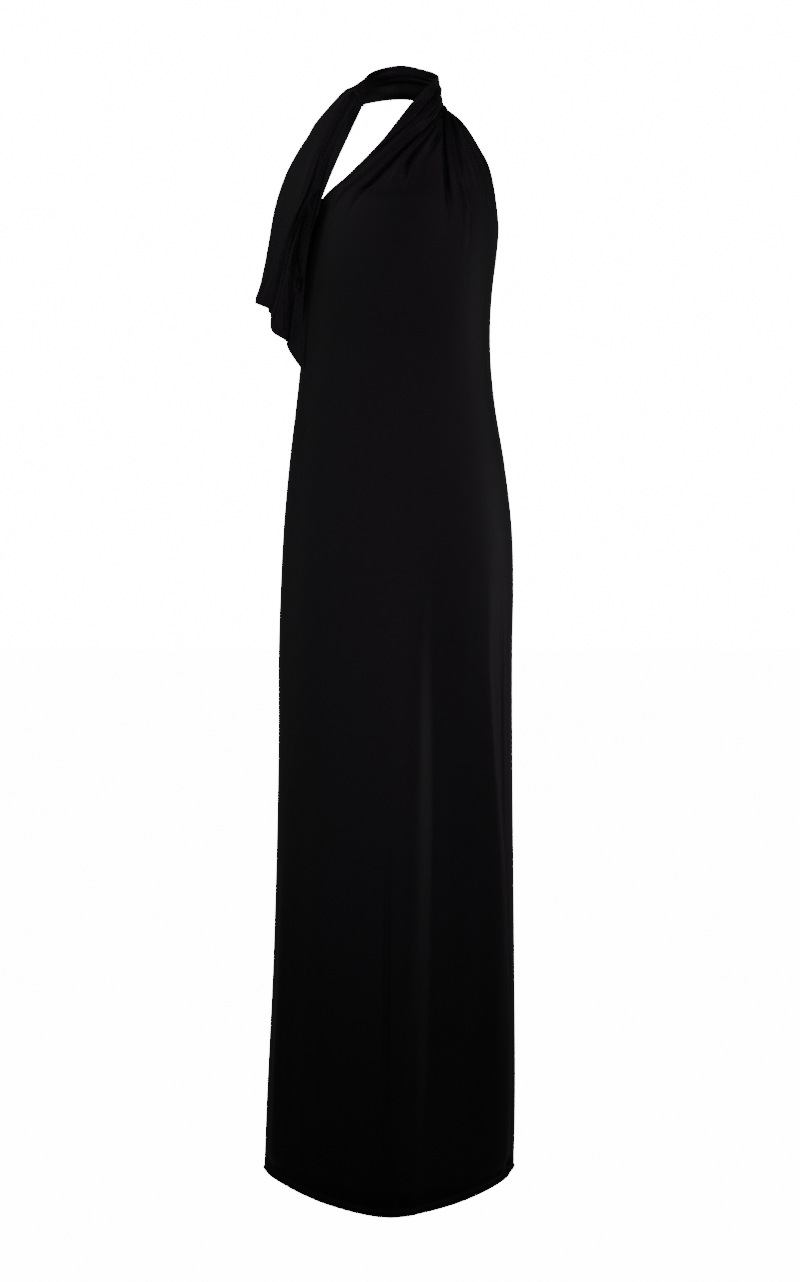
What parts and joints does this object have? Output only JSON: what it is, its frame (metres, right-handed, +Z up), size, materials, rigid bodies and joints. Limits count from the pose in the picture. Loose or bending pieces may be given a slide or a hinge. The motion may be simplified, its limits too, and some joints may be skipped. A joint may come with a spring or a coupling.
{
  "type": "halter maxi dress",
  "caption": "Floor-length column dress with a one-sided halter neck gathered at the neck, a low open back and a draped cape over one shoulder.",
  "frame": {"origin": "middle of the wearer's neck, level with the halter at the sides of the neck", "axes": "+Z up the wearer's body, -Y the way the wearer faces, +X to the wearer's left"},
  "size_m": [0.37, 0.263, 1.5884],
  "materials": {
    "front_jersey": "matte jersey knit",
    "back_jersey": "matte jersey knit",
    "band_jersey": "matte jersey knit",
    "cape_jersey": "matte jersey knit"
  },
  "bodies": {
    "root": {"front_panel": "front_jersey", "back_panel": "back_jersey", "neck_band": "band_jersey", "shoulder_cape": "cape_jersey"}
  },
  "joints": []
}
